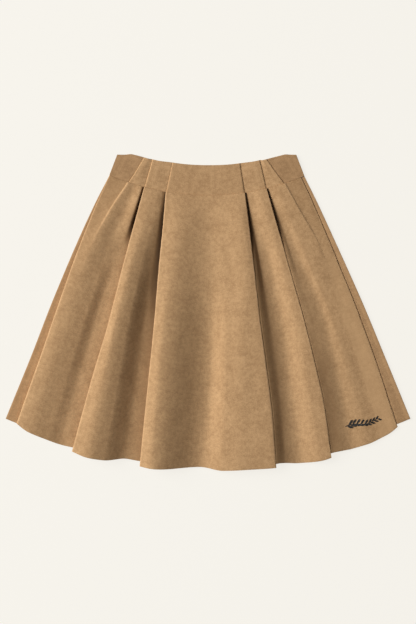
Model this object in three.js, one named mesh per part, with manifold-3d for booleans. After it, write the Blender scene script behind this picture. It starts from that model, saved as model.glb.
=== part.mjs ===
// An A-line skirt of faux suede, laid flat with its front up and its waist towards +Y.
//
// The skirt is cut as a flat flare: every seam and hem is an arc about one flare centre above the
// waist, and every pleat runs roughly along a radius. A place on the cloth is given by its radius
// from the flare centre in millimetres, its angle from the centre front in degrees (plus is +X),
// and its height above the table. Left and right are as seen from the front.

import * as THREE from "three";
import { mergeVertices } from "three/addons/utils/BufferGeometryUtils.js";
import Module from "manifold-3d";

const wasm = await Module();
wasm.setup();

// ---- Driving dimensions (mm, degrees) ----

const CLOTH = 1.5; // thickness of the bonded suede
const GAP = 0.3; // clearance between neighbouring pieces
const YOKE_SEAM_RADIUS = 455.5;
const BACK_HEM_RADIUS = 943;
const BACK_WAIST_RADIUS = 409;
const BACK_SEAM_HALF_GAP = 0.15;
const BACK_LEVEL = CLOTH / 2; // middle of the back's wall, resting on the table
const UNDER_LEVEL = BACK_LEVEL + CLOTH + GAP + 0.05; // a front piece lying on the back
const LAP_STEP = CLOTH + GAP + 0.05; // each further layer
const SIDE_TURN = 9; // allowance turned under along the side edge
const BAND_LAP = 8; // how far a waistband piece runs under its neighbour
const FLAT_EDGE = 9; // how much of a waistband piece lies level over its neighbour
const FOOT_CLEARANCE = 1.2; // from a pleat's fold to where the lower panel starts to rise

const SUEDE = { color: 0xb48e69, roughness: 0.92, metalness: 0 };
const SIDE_SUEDE = { color: 0xa07a57, roughness: 0.94, metalness: 0 };
const BACK_SUEDE = { color: 0xa9835f, roughness: 0.94, metalness: 0 };
const THREAD = { color: 0x17120f, roughness: 0.6, metalness: 0 };

// Stations down the skirt, as a share of the way from the yoke seam to the hem. Every list of six
// below has one value for each: yoke seam, pleat mouth, upper, middle, lower, hem.
const STATIONS = [0, 0.12, 0.25, 0.5, 0.75, 1];
const PLEAT_DEPTH = [12, 15, 20, 28, 34, 38];
const ROLL_RADIUS = [0.85, 1, 1.2, 1.3, 1.4, 1.4];
const SIDE_ROLL = [0.85, 1, 1.2, 1.3, 1.4, 1.4];
const TIGHTEST_ROLL = 2.4; // a fold stands at least this many roll radii above the layer below

// Lines across each front panel, from one edge to the other: the radius at which the line meets
// the hem, and its angle and the height of the cloth's middle at each station.
const CENTRE_PANEL = [
  { line: "left fold", hem: 959.5, angle: [-9.75, -9.15, -8.75, -8.05, -7.72, -7.45],
    height: [6.5, 10, 14, 20, 22, 22] },
  { line: "left crest", hem: 961, angle: [-7.5, -6.2, -6.4, -6.5, -6.3, -6.1],
    height: [6.5, 13, 17, 25, 28.5, 28.5] },
  { line: "valley", hem: 955, angle: [0.3, 0.3, 0.4, 0.4, 0, -0.85],
    height: [4.6, 6.4, 7.6, 5, 3.8, 3.6] },
  { line: "right shoulder", hem: 961, angle: [4, 3.6, 3.5, 2.9, 2.3, 1.7],
    height: [5.6, 9, 11, 13.5, 15, 15] },
  { line: "right crest", hem: 961, angle: [7.2, 7.2, 7, 5.6, 4.6, 3.8],
    height: [6.5, 12.5, 15.5, 18, 18.5, 18.5] },
  { line: "right fold", hem: 963, angle: [8.57, 8.38, 8.2, 7.9, 7.85, 7.44],
    height: [6.5, 11.5, 14.5, 17.5, 18.5, 18.5] },
];
const INNER_PANEL_LEFT = [
  { line: "slope", hem: 951.5, angle: [-10.7, -10.3, -9.9, -9.5, -9.2, -9],
    height: [4.6, 7, 5.5, 5.5, 5.5, 5.2] },
  { line: "shoulder", hem: 959.5, angle: [-11.8, -11.6, -12, -12, -11.7, -11.5],
    height: [6, 10.2, 14.6, 22.5, 23.6, 22.8] },
  { line: "crest", hem: 960.5, angle: [-13.4, -13.2, -13.6, -13.7, -13.4, -13.2],
    height: [6.5, 11.8, 17.5, 26.8, 28.5, 28.5] },
  { line: "fold", hem: 957, angle: [-14.86, -14.87, -14.89, -14.75, -15, -15.03],
    height: [6.5, 10.5, 15, 22, 22.5, 22.5] },
];
const OUTER_PANEL_LEFT = [
  { line: "slope", hem: 953, angle: [-15.5, -15.7, -16.3, -16.7, -16.6, -16.5],
    height: [6, 8, 4.6, 4.6, 4.8, 5] },
  { line: "trough", hem: 951, angle: [-17.2, -17.6, -18.2, -18.4, -18.3, -18.2],
    height: [4.8, 5.6, 7.6, 11.8, 12, 11.8] },
  { line: "tuck top", hem: 948, angle: [-18.75, -20.4, -21.2, -21.4, -20.8, -20.4],
    height: [7, 9.5, 13.6, 16.8, 18, 17.5] },
  { line: "tuck foot", hem: 946.5, angle: [-18.95, -20.6, -21.5, -21.8, -21.2, -20.8],
    height: [4.8, 6.8, 13, 16.7, 17.9, 17.4] },
  { line: "side fold", hem: 941.5, angle: [-23.4, -23.5, -23.32, -22.71, -22.16, -21.83],
    height: [4.6, 5.4, 9.5, 15, 16.2, 15.8] },
];
const INNER_PANEL_RIGHT = [
  { line: "fall", hem: 958, angle: [9.2, 9.2, 9.4, 9.5, 9.2, 8.6],
    height: [3.6, 4.4, 4.6, 6.4, 7, 7] },
  { line: "valley", hem: 962.5, angle: [10.4, 10.2, 10.8, 11, 10.5, 10],
    height: [4.6, 6, 3.8, 3.3, 3.2, 3.2] },
  { line: "crest", hem: 965.5, angle: [12, 12.8, 13.2, 13.4, 13, 12.6],
    height: [6.5, 10, 10, 10.6, 12, 12] },
  { line: "fold", hem: 964, angle: [13.69, 13.92, 14.17, 14.45, 14.35, 13.6],
    height: [6.5, 10, 10.4, 11.6, 12.6, 12.4] },
];
const OUTER_PANEL_RIGHT = [
  { line: "fall", hem: 957, angle: [14.3, 14.7, 15.2, 15.9, 15.6, 14.8],
    height: [3.4, 4, 4.4, 4.6, 4.8, 4.8] },
  { line: "hollow", hem: 959, angle: [15, 15.5, 16.2, 17.5, 17, 16.2],
    height: [4.2, 5, 5, 3.6, 3.4, 3.4] },
  { line: "ridge", hem: 959, angle: [16.4, 17, 17.6, 18.5, 18.3, 17.9],
    height: [5.5, 6.6, 6.6, 5, 5, 5] },
  { line: "tuck top", hem: 956.5, angle: [18.07, 19.3, 20.4, 20, 19.8, 19.4],
    height: [6.4, 6.6, 5.6, 5, 4.9, 4.8] },
  { line: "tuck foot", hem: 953.5, angle: [18.27, 19.5, 20.65, 21, 20.9, 20.6],
    height: [4.8, 4.8, 4.7, 4.7, 4.7, 4.7] },
  { line: "side fold", hem: 948, angle: [22.15, 22.45, 22.5, 22.45, 22.1, 21.61],
    height: [4.6, 4.6, 4.6, 4.6, 4.6, 4.6] },
];
// How the lower panel lies under the fold above it: the height at the fold's line.
const INNER_FOOT_LEFT = { height: [UNDER_LEVEL, 2.8, 3, 3, 3, 3], hem: 952.5 };
const INNER_FOOT_RIGHT = { height: [UNDER_LEVEL, 3.6, 8, 12.5, 13.8, 13.8], hem: 956 };
const OUTER_FOOT_LEFT = { height: [UNDER_LEVEL, 2.8, 3.6, 3.6, 3.6, 3.6], hem: 952 };
const OUTER_FOOT_RIGHT = { height: [UNDER_LEVEL, 3.6, 6.2, 7.4, 8.6, 8.6], hem: 956 };

// The side edges of the back, at the same stations.
const BACK_SIDE_LEFT = [23.5, 23.9, 24, 23.83, 23.45, 23.28];
const BACK_SIDE_RIGHT = [22.95, 23.3, 23.45, 23.58, 23.43, 23.28];

// The waistband, from the left hip round to the right one. Angles at the waist and at the yoke
// seam where one piece laps over the next, and the radius of the waist edge there.
const BAND_LINES = {
  hipLeft: { waist: -23.75, seam: -23.5, radius: 415 },
  hipMiddleLeft: { waist: -22, seam: -22.1, radius: 409.9 },
  cornerLeft: { waist: -20.1, seam: -20.6, radius: 404 },
  outerLeft: { waist: -17, seam: -18.75, radius: 402.6 },
  innerLeft: { waist: -14.76, seam: -14.86, radius: 401.9 },
  centreLeft: { waist: -9.45, seam: -9.75, radius: 399.9 },
  centreFront: { waist: 0, seam: 0, radius: 399.4 },
  centreRight: { waist: 8.52, seam: 8.57, radius: 400.2 },
  innerRight: { waist: 13.8, seam: 13.69, radius: 401.6 },
  outerRight: { waist: 15.55, seam: 18.07, radius: 403 },
  cornerRight: { waist: 20.3, seam: 20.6, radius: 405 },
  hipMiddleRight: { waist: 21.8, seam: 21.8, radius: 409.3 },
  hipRight: { waist: 23.15, seam: 22.95, radius: 413.4 },
};
const HIP_RISE = 0.6; // how far the hips stand above the lowest level
const BACK_WAIST_DROP = 2; // how much lower the back's waist is at the side edge

// The embroidered sprig, near the hem of the right outer panel. It is worked flat, and leans
// against the hem's arc by the fall; its leaves grow to each side in turn.
const SPRIG = {
  angle: 18,
  radius: 919.6,
  length: 64,
  wave: 2,
  fall: 0.11,
  stem: 1.5,
  leaves: 11,
  leaf: 12.5,
  leafWidth: 0.36,
  leanUp: 36,
  leanDown: -31,
  thread: 0.7,
  lift: 0.45,
};

// ---- Curves and places ----

const radians = THREE.MathUtils.degToRad;

// The slopes of a smooth curve through (xs, ys) that never overshoots its points.
function monotoneSlopes(xs, ys) {
  const last = xs.length - 1;
  const secants = xs.slice(1).map((x, i) => (ys[i + 1] - ys[i]) / (x - xs[i]));
  const slopes = [secants[0]];
  for (let i = 1; i < last; i += 1) {
    const before = secants[i - 1];
    const after = secants[i];
    slopes.push(before * after <= 0 ? 0 : (2 * before * after) / (before + after));
  }
  slopes.push(secants[last - 1]);
  return slopes;
}

// The value at x of the smooth curve through (xs, ys), where xs rises.
function smoothValue(xs, ys, x) {
  const slopes = monotoneSlopes(xs, ys);
  const found = xs.findIndex((edge, i) => i > 0 && x <= edge);
  const i = (found < 0 ? xs.length - 1 : found) - 1;
  const width = xs[i + 1] - xs[i];
  const t = THREE.MathUtils.clamp((x - xs[i]) / width, 0, 1);
  const rise = t * t * (3 - 2 * t);
  const leave = t * (1 - t) * (1 - t) * width * slopes[i];
  const arrive = t * t * (t - 1) * width * slopes[i + 1];
  return ys[i] * (1 - rise) + ys[i + 1] * rise + leave + arrive;
}

const atStation = (values, t) => smoothValue(STATIONS, values, t);

// The place of a point of the cloth, before the whole skirt is centred.
function place(radius, degrees, height) {
  const angle = radians(degrees);
  return [radius * Math.sin(angle), -radius * Math.cos(angle), height];
}

// ---- Walls of cloth ----

// One closed body skinned over rings of equal length, capped at both ends.
function skinRings(rings) {
  const count = rings[0].length;
  const half = count / 2;
  const positions = rings.flat(2);
  const triangles = [];
  for (let row = 0; row + 1 < rings.length; row += 1) {
    for (let i = 0; i < count; i += 1) {
      const a = row * count + i;
      const b = row * count + ((i + 1) % count);
      triangles.push(a, b, a + count, b, b + count, a + count);
    }
  }
  const lastRow = (rings.length - 1) * count;
  for (let i = 0; i + 1 < half; i += 1) {
    const far = count - 1 - i;
    triangles.push(i, far, i + 1, i + 1, far, far - 1);
    triangles.push(lastRow + i, lastRow + i + 1, lastRow + far);
    triangles.push(lastRow + i + 1, lastRow + far - 1, lastRow + far);
  }
  const geometry = new THREE.BufferGeometry();
  geometry.setAttribute("position", new THREE.Float32BufferAttribute(positions, 3));
  geometry.setIndex(triangles);
  return facingOut(geometry);
}

// The same body with its faces turned outwards if they point in.
function facingOut(geometry) {
  const point = geometry.attributes.position;
  const index = geometry.index.array;
  const [a, b, c] = [new THREE.Vector3(), new THREE.Vector3(), new THREE.Vector3()];
  let volume = 0;
  for (let i = 0; i < index.length; i += 3) {
    a.fromBufferAttribute(point, index[i]);
    b.fromBufferAttribute(point, index[i + 1]);
    c.fromBufferAttribute(point, index[i + 2]);
    volume += a.dot(b.cross(c)) / 6;
  }
  if (volume < 0) {
    for (let i = 0; i < index.length; i += 3) {
      [index[i + 1], index[i + 2]] = [index[i + 2], index[i + 1]];
    }
  }
  geometry.computeVertexNormals();
  return geometry;
}

// The ring round one section of cloth, half a thickness to each side of its middle line. A point
// of the line is { across, height, radius }, with across measured along the arc.
function wallRing(line) {
  const side = (sign) =>
    line.map((here, i) => {
      const before = line[Math.max(i - 1, 0)];
      const after = line[Math.min(i + 1, line.length - 1)];
      const along = new THREE.Vector2(after.across - before.across, after.height - before.height);
      along.normalize();
      const across = here.across - (sign * along.y * CLOTH) / 2;
      const height = here.height + (sign * along.x * CLOTH) / 2;
      return place(here.radius, THREE.MathUtils.radToDeg(across / here.radius), height);
    });
  return [...side(1), ...side(-1).reverse()];
}

// ---- Front panels ----

// The rows of a lower panel that lie under the fold of the panel above.
function underlap(fold, foot) {
  const turn = Math.sign(fold.angle[0]);
  const shifted = (distances) =>
    fold.angle.map((angle, i) => {
      const radius = YOKE_SEAM_RADIUS + STATIONS[i] * (fold.hem - YOKE_SEAM_RADIUS);
      return angle + THREE.MathUtils.radToDeg((turn * distances[i]) / radius);
    });
  const inward = PLEAT_DEPTH.map((depth) => -depth);
  const mouth = ROLL_RADIUS.map((roll) => -(1.4 * roll + FOOT_CLEARANCE));
  const outward = STATIONS.map(() => FOOT_CLEARANCE);
  const low = STATIONS.map(() => UNDER_LEVEL);
  return [
    { line: "inner edge", angle: shifted(inward), height: low, hem: foot.hem - 3 },
    { line: "mouth", angle: shifted(mouth), height: low, hem: foot.hem - 1 },
    { line: "foot", angle: shifted(outward), height: foot.height, hem: foot.hem },
  ];
}

// The face of a panel at one station: points between its rows, stepsBetween for each stretch.
function faceLine(rows, stepsBetween, t) {
  const angles = rows.map((row) => atStation(row.angle, t));
  const turn = Math.sign(angles[angles.length - 1] - angles[0]);
  const order = angles.map((angle) => angle * turn);
  const heights = rows.map((row) => atStation(row.height, t));
  const hems = rows.map((row) => row.hem);
  const line = [];
  for (let k = 0; k + 1 < rows.length; k += 1) {
    const steps = stepsBetween[k];
    for (let step = k === 0 ? 0 : 1; step <= steps; step += 1) {
      const along = THREE.MathUtils.lerp(order[k], order[k + 1], step / steps);
      const hem = smoothValue(order, hems, along);
      const radius = YOKE_SEAM_RADIUS + GAP / 2 + t * (hem - YOKE_SEAM_RADIUS);
      const height = smoothValue(order, heights, along);
      line.push({ across: radians(along * turn) * radius, height, radius });
    }
  }
  return line;
}

// A fold at the end of a face: the cloth rolls under itself and runs back inwards.
function turnedUnder(end, turn, roll, depth, restLevel) {
  const points = [];
  const centre = end.across - turn * roll;
  for (const degrees of [60, 90, 120, 180]) {
    const angle = radians(degrees);
    const across = centre + turn * roll * Math.sin(angle);
    points.push({ across, height: end.height - roll + roll * Math.cos(angle), radius: end.radius });
  }
  points.push({ across: end.across - turn * (depth - 1), height: restLevel, radius: end.radius });
  return points;
}

// The face pulled in by the roll, so that the fold's outermost point keeps the fold's line. The
// roll is as wide as asked, or as the height above the layer below allows.
function withFold(face, turn, widestRoll, depth, restLevel) {
  const end = face[face.length - 1];
  const roll = Math.min(widestRoll, (end.height - restLevel) / TIGHTEST_ROLL);
  const inside = face.filter((point) => turn * (end.across - point.across) > roll * 1.5);
  const dropped = face.length - inside.length;
  const step = roll / dropped;
  const tail = Array.from({ length: dropped }, (_, i) => ({
    across: end.across - turn * (roll + step * 0.4 * (dropped - 1 - i)),
    height: end.height,
    radius: end.radius,
  }));
  return [...inside, ...tail, ...turnedUnder(end, turn, roll, depth, restLevel)];
}

// A front panel as rings down its length. Each end of a section is a raw edge or a fold.
function frontPanel(rows, steps, downSteps, folds) {
  const rings = [];
  for (let k = 0; k <= downSteps; k += 1) {
    const t = k / downSteps;
    let line = faceLine(rows, steps, t);
    for (const fold of folds) {
      const span = line[line.length - 1].across - line[0].across;
      const ordered = fold.turn * span > 0 ? line : [...line].reverse();
      line = withFold(ordered, fold.turn, atStation(fold.roll, t), fold.depth(t), fold.level);
    }
    rings.push(wallRing(line));
  }
  return skinRings(rings);
}

const pleat = (turn) => ({
  turn,
  roll: ROLL_RADIUS,
  depth: (t) => atStation(PLEAT_DEPTH, t),
  level: UNDER_LEVEL + LAP_STEP,
});
const sideTurn = (turn) => ({ turn, roll: SIDE_ROLL, depth: () => SIDE_TURN, level: UNDER_LEVEL });

const foldOf = (rows) => rows[rows.length - 1];
const innerRowsLeft = [...underlap(CENTRE_PANEL[0], INNER_FOOT_LEFT), ...INNER_PANEL_LEFT];
const innerRowsRight = [...underlap(foldOf(CENTRE_PANEL), INNER_FOOT_RIGHT), ...INNER_PANEL_RIGHT];
const outerRowsLeft = [...underlap(foldOf(INNER_PANEL_LEFT), OUTER_FOOT_LEFT), ...OUTER_PANEL_LEFT];
const outerRowsRight = [...underlap(foldOf(INNER_PANEL_RIGHT), OUTER_FOOT_RIGHT), ...OUTER_PANEL_RIGHT];

const DOWN_STEPS = 12;
const centrePanel = frontPanel(CENTRE_PANEL, [4, 7, 5, 4, 4], DOWN_STEPS, [pleat(1), pleat(-1)]);
const innerSteps = [1, 2, 2, 3, 4, 3];
const innerPanelLeft = frontPanel(innerRowsLeft, innerSteps, DOWN_STEPS, [pleat(-1)]);
const innerPanelRight = frontPanel(innerRowsRight, innerSteps, DOWN_STEPS, [pleat(1)]);
const outerStepsLeft = [1, 2, 2, 3, 4, 1, 3];
const outerPanelLeft = frontPanel(outerRowsLeft, outerStepsLeft, DOWN_STEPS, [sideTurn(-1)]);
const outerStepsRight = [1, 2, 2, 2, 3, 3, 1, 3];
const outerPanelRight = frontPanel(outerRowsRight, outerStepsRight, DOWN_STEPS, [sideTurn(1)]);

// ---- Waistband ----

// A waistband piece between lines listed from its lower, lapped-under edge to its top edge, each
// with its height at the waist and at the seam.
function bandPiece(lines) {
  const sectionAt = (share) =>
    lines.map((line) => {
      const degrees = THREE.MathUtils.lerp(line.seam, line.waist, share);
      const radius = THREE.MathUtils.lerp(YOKE_SEAM_RADIUS - GAP / 2, line.radius, share);
      const height = THREE.MathUtils.lerp(line.seamHeight, line.waistHeight, share);
      return { across: radians(degrees) * radius, height, radius };
    });
  return skinRings([0, 0.5, 1].map((share) => wallRing(sectionAt(share))));
}

const TOP_LEVEL = UNDER_LEVEL + LAP_STEP; // a waistband edge lying over its neighbour
const CENTRE_LEVEL = UNDER_LEVEL + 1; // the middle of the centre piece
const raised = (line) => ({ ...line, waistHeight: TOP_LEVEL, seamHeight: TOP_LEVEL });
const lowered = (line) => ({ ...line, waistHeight: UNDER_LEVEL, seamHeight: UNDER_LEVEL });
const middle = (line) => ({ ...line, waistHeight: CENTRE_LEVEL, seamHeight: CENTRE_LEVEL });
const HIP_LEVEL = UNDER_LEVEL + HIP_RISE;
const atHip = (line) => ({ ...line, waistHeight: HIP_LEVEL, seamHeight: HIP_LEVEL });

// The line moved along the band by a distance, towards the centre front if that is negative.
function moved(line, distance) {
  const turn = Math.sign(line.seam);
  const shift = THREE.MathUtils.radToDeg((turn * distance) / YOKE_SEAM_RADIUS);
  return { ...line, waist: line.waist + shift, seam: line.seam + shift };
}

// A piece that starts under one line and ends over the next.
function lappedPiece(start, end) {
  return bandPiece([
    lowered(moved(start, -BAND_LAP)),
    lowered(moved(start, FOOT_CLEARANCE)),
    raised(moved(end, -FLAT_EDGE)),
    raised(end),
  ]);
}

// A hip piece, lapped under at one end, with its corner, its curved top and its side edge.
function hipPiece(start, corner, middleOfHip, side) {
  const under = [moved(start, -BAND_LAP), start].map(lowered);
  return bandPiece([...under, ...[corner, middleOfHip, side].map(atHip)]);
}

const band = BAND_LINES;
const bandHipLeft = hipPiece(band.outerLeft, band.cornerLeft, band.hipMiddleLeft, band.hipLeft);
const bandHipRight = hipPiece(band.outerRight, band.cornerRight, band.hipMiddleRight, band.hipRight);
const bandCentre = bandPiece([
  raised(band.centreLeft),
  raised(moved(band.centreLeft, -FLAT_EDGE)),
  middle(band.centreFront),
  raised(moved(band.centreRight, -FLAT_EDGE)),
  raised(band.centreRight),
]);

// ---- Back ----

// Half of the back skirt, flat on the table, from the centre back seam to the side edge.
function backSkirtHalf(turn, sideAngle) {
  const rings = [];
  const downSteps = 8;
  const sideSteps = 8;
  for (let k = 0; k <= downSteps; k += 1) {
    const t = k / downSteps;
    const radius = THREE.MathUtils.lerp(YOKE_SEAM_RADIUS + GAP / 2, BACK_HEM_RADIUS, t);
    const start = BACK_SEAM_HALF_GAP / radius;
    const end = radians(atStation(sideAngle, t));
    const line = [];
    for (let i = 0; i <= sideSteps; i += 1) {
      const angle = THREE.MathUtils.lerp(start, end, i / sideSteps);
      line.push({ across: turn * angle * radius, height: BACK_LEVEL, radius });
    }
    rings.push(wallRing(line));
  }
  return skinRings(rings);
}

// Half of the back waistband, just inside the outline of the front one.
function backBandHalf(side) {
  const turn = Math.sign(side.seam);
  const steps = 6;
  const lines = [];
  for (let i = 0; i <= steps; i += 1) {
    const start = turn * THREE.MathUtils.radToDeg(BACK_SEAM_HALF_GAP / BACK_WAIST_RADIUS);
    const lowest = i === steps ? side.radius + BACK_WAIST_DROP : BACK_WAIST_RADIUS;
    lines.push({
      waist: THREE.MathUtils.lerp(start, side.waist, i / steps),
      seam: THREE.MathUtils.lerp(start, side.seam, i / steps),
      radius: lowest,
      waistHeight: BACK_LEVEL,
      seamHeight: BACK_LEVEL,
    });
  }
  return bandPiece(lines);
}

// ---- Embroidered sprig ----

// The solid of a flat outline, as thick as the thread lies.
function threadSolid(outline) {
  const settings = { depth: SPRIG.thread, bevelEnabled: false };
  const extruded = new THREE.ExtrudeGeometry(new THREE.Shape(outline), settings);
  extruded.deleteAttribute("normal");
  extruded.deleteAttribute("uv");
  const closed = mergeVertices(extruded);
  const triVerts = new Uint32Array(closed.index.array);
  const vertProperties = closed.attributes.position.array;
  return new wasm.Manifold(new wasm.Mesh({ numProp: 3, vertProperties, triVerts }));
}

// The stem's middle line: a gentle wave along the hem.
function stemPoint(share) {
  const along = (share - 0.5) * SPRIG.length;
  return new THREE.Vector2(along, SPRIG.wave * Math.sin(share * Math.PI * 2.5) - SPRIG.fall * along);
}

function stemOutline() {
  const steps = 24;
  const upper = [];
  const lower = [];
  for (let i = 0; i <= steps; i += 1) {
    const share = i / steps;
    const half = (SPRIG.stem / 2) * (1 - 0.5 * share);
    const centre = stemPoint(share);
    upper.push(new THREE.Vector2(centre.x, centre.y + half));
    lower.push(new THREE.Vector2(centre.x, centre.y - half));
  }
  return [...lower, ...upper.reverse()];
}

// A pointed leaf growing from the stem at an angle.
function leafOutline(base, degrees, length) {
  const width = length * SPRIG.leafWidth;
  const outline = [];
  for (const [along, out] of [[0, 0.12], [0.25, 0.8], [0.5, 1], [0.75, 0.65], [1, 0.06]]) {
    outline.push(new THREE.Vector2(along * length, (out * width) / 2));
  }
  const mirrored = outline.map((point) => new THREE.Vector2(point.x, -point.y)).reverse();
  const stem = new THREE.Vector2();
  return [...mirrored, ...outline].map((point) => point.rotateAround(stem, radians(degrees)).add(base));
}

// The height of a panel's middle line at a place on it.
function panelHeight(rows, degrees, radius) {
  const t = (radius - YOKE_SEAM_RADIUS) / (foldOf(rows).hem - YOKE_SEAM_RADIUS);
  const angles = rows.map((row) => atStation(row.angle, t));
  const heights = rows.map((row) => atStation(row.height, t));
  return smoothValue(angles, heights, degrees);
}

function sprig() {
  let solid = threadSolid(stemOutline());
  for (let i = 0; i < SPRIG.leaves; i += 1) {
    const share = 0.05 + (0.9 * i) / (SPRIG.leaves - 1);
    const lean = i % 2 === 0 ? SPRIG.leanDown : SPRIG.leanUp;
    const length = SPRIG.leaf * (1 - 0.38 * share);
    solid = solid.add(threadSolid(leafOutline(stemPoint(share), lean, length)));
  }
  const mesh = solid.getMesh();
  const positions = [];
  for (let i = 0; i < mesh.vertProperties.length; i += 3) {
    const [along, up, out] = mesh.vertProperties.slice(i, i + 3);
    const radius = SPRIG.radius - up;
    const degrees = SPRIG.angle + THREE.MathUtils.radToDeg(along / SPRIG.radius);
    const cloth = panelHeight(outerRowsRight, degrees, radius) + CLOTH / 2;
    positions.push(...place(radius, degrees, cloth + SPRIG.lift + out));
  }
  const geometry = new THREE.BufferGeometry();
  geometry.setAttribute("position", new THREE.Float32BufferAttribute(positions, 3));
  geometry.setIndex([...mesh.triVerts]);
  return facingOut(geometry);
}

// ---- The skirt ----

const pieces = [
  ["front_centre_panel", centrePanel, SUEDE],
  ["front_inner_panel_left", innerPanelLeft, SUEDE],
  ["front_inner_panel_right", innerPanelRight, SUEDE],
  ["front_outer_panel_left", outerPanelLeft, SUEDE],
  ["front_outer_panel_right", outerPanelRight, SUEDE],
  ["front_waistband_centre", bandCentre, SUEDE],
  ["front_waistband_inner_left", lappedPiece(band.centreLeft, band.innerLeft), SUEDE],
  ["front_waistband_inner_right", lappedPiece(band.centreRight, band.innerRight), SUEDE],
  ["front_waistband_outer_left", lappedPiece(band.innerLeft, band.outerLeft), SUEDE],
  ["front_waistband_outer_right", lappedPiece(band.innerRight, band.outerRight), SUEDE],
  ["front_waistband_hip_left", bandHipLeft, SIDE_SUEDE],
  ["front_waistband_hip_right", bandHipRight, SIDE_SUEDE],
  ["back_skirt_left", backSkirtHalf(-1, BACK_SIDE_LEFT), BACK_SUEDE],
  ["back_skirt_right", backSkirtHalf(1, BACK_SIDE_RIGHT), BACK_SUEDE],
  ["back_waistband_left", backBandHalf(band.hipLeft), BACK_SUEDE],
  ["back_waistband_right", backBandHalf(band.hipRight), BACK_SUEDE],
  ["embroidered_sprig", sprig(), THREAD],
];

const skirt = new THREE.Group();
for (const [name, geometry, finish] of pieces) {
  const mesh = new THREE.Mesh(geometry, new THREE.MeshStandardMaterial(finish));
  mesh.name = name;
  skirt.add(mesh);
}

// The skirt is centred over the origin, with its back on the table.
const centre = new THREE.Box3().setFromObject(skirt).getCenter(new THREE.Vector3());
skirt.position.set(-centre.x, -centre.y, 0);

const model = new THREE.Group();
model.add(skirt);

export default model;
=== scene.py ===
"""A flared faux-suede skirt laid flat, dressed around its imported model.

The skirt is cut as a flat flare. A place on the cloth is given by its radius from the flare
centre above the waist, its angle from the centre front (plus is +X) and its height above the
table. Tables are in millimetres and degrees; meshes are in metres.
"""

import logging
import math
from dataclasses import dataclass, field
from enum import Enum
from typing import Callable, Optional, Sequence, Union

import bmesh
import bpy
import numpy as np
from mathutils import Matrix, Vector, noise


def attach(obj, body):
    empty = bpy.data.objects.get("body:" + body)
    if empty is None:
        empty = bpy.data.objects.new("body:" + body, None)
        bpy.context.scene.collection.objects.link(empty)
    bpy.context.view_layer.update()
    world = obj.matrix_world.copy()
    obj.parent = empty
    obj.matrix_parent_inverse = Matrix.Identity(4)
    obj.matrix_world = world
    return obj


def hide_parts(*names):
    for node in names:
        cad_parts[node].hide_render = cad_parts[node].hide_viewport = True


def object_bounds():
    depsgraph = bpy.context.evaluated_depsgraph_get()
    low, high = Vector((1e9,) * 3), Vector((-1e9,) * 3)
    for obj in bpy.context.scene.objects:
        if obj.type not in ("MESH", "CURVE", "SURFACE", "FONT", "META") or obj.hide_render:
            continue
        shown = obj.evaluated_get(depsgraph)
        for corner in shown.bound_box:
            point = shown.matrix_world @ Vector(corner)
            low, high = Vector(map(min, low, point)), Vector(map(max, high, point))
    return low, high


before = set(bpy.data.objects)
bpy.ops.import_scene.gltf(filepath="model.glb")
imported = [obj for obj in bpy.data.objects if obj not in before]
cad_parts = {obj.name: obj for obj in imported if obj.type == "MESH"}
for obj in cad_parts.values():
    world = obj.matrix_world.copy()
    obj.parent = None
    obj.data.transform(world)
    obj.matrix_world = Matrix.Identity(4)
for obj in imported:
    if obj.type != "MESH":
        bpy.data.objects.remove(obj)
CAD_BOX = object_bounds()

log = logging.getLogger("skirt")

MM = 0.001
BODY = "root"
CLOTH = 1.4
CLOTH_GAP = 0.3
SEAM_GAP = 0.12
LAP_STEP = 1.85
BACK_LEVEL = 0.75
UNDER_LEVEL = 2.6
YOKE_SEAM_RADIUS = 455.5

Row = Sequence[float]


class Side(Enum):
    """Which side of the centre front, as seen from the front."""

    LEFT = -1
    RIGHT = 1


# --------------------------------------------------------------------------------------------
# Curves and places
# --------------------------------------------------------------------------------------------


class SmoothCurve:
    """A curve through a few points that never overshoots them."""

    def __init__(self, xs: Row, ys: Row) -> None:
        """Works out the slopes.

        Args:
            xs: where the points are, rising or falling.
            ys: the value at each point.
        """
        x, y = np.asarray(xs, float), np.asarray(ys, float)
        if x[-1] < x[0]:
            x, y = x[::-1], y[::-1]
        secants = np.diff(y) / np.diff(x)
        before, after = secants[:-1], secants[1:]
        product, total = before * after, before + after
        inner = np.where(product > 0, 2 * product / np.where(total == 0, 1, total), 0)
        self.x, self.y = x, y
        self.slopes = np.concatenate([secants[:1], inner, secants[-1:]])

    def __call__(self, at: Union[float, np.ndarray]) -> np.ndarray:
        """The curve's value at one place or many."""
        at = np.asarray(at, float)
        i = np.clip(np.searchsorted(self.x, at) - 1, 0, len(self.x) - 2)
        width = self.x[i + 1] - self.x[i]
        t = np.clip((at - self.x[i]) / width, 0, 1)
        rise = eased(t)
        leave = t * (1 - t) ** 2 * width * self.slopes[i]
        arrive = t * t * (t - 1) * width * self.slopes[i + 1]
        return self.y[i] * (1 - rise) + self.y[i + 1] * rise + leave + arrive


def eased(share: Union[float, np.ndarray]) -> Union[float, np.ndarray]:
    """A share from 0 to 1 that starts and ends gently."""
    return share * share * (3 - 2 * share)


def bell(distance: np.ndarray, width: float) -> np.ndarray:
    """A bell that is 1 on a line and fades out with the distance from it."""
    return np.exp(-((distance / width) ** 2))


@dataclass(frozen=True)
class Flare:
    """The flat flare that the skirt is cut from, placed in the model's frame."""

    centre_y: float

    def place(self, radius: float, angle: float, height: float) -> Vector:
        """A point in metres, from a radius and height in millimetres and an angle in radians."""
        x = radius * math.sin(angle)
        y = self.centre_y - radius * math.cos(angle)
        return Vector((x, y, height)) * MM


# --------------------------------------------------------------------------------------------
# Shader maths
# --------------------------------------------------------------------------------------------


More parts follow.
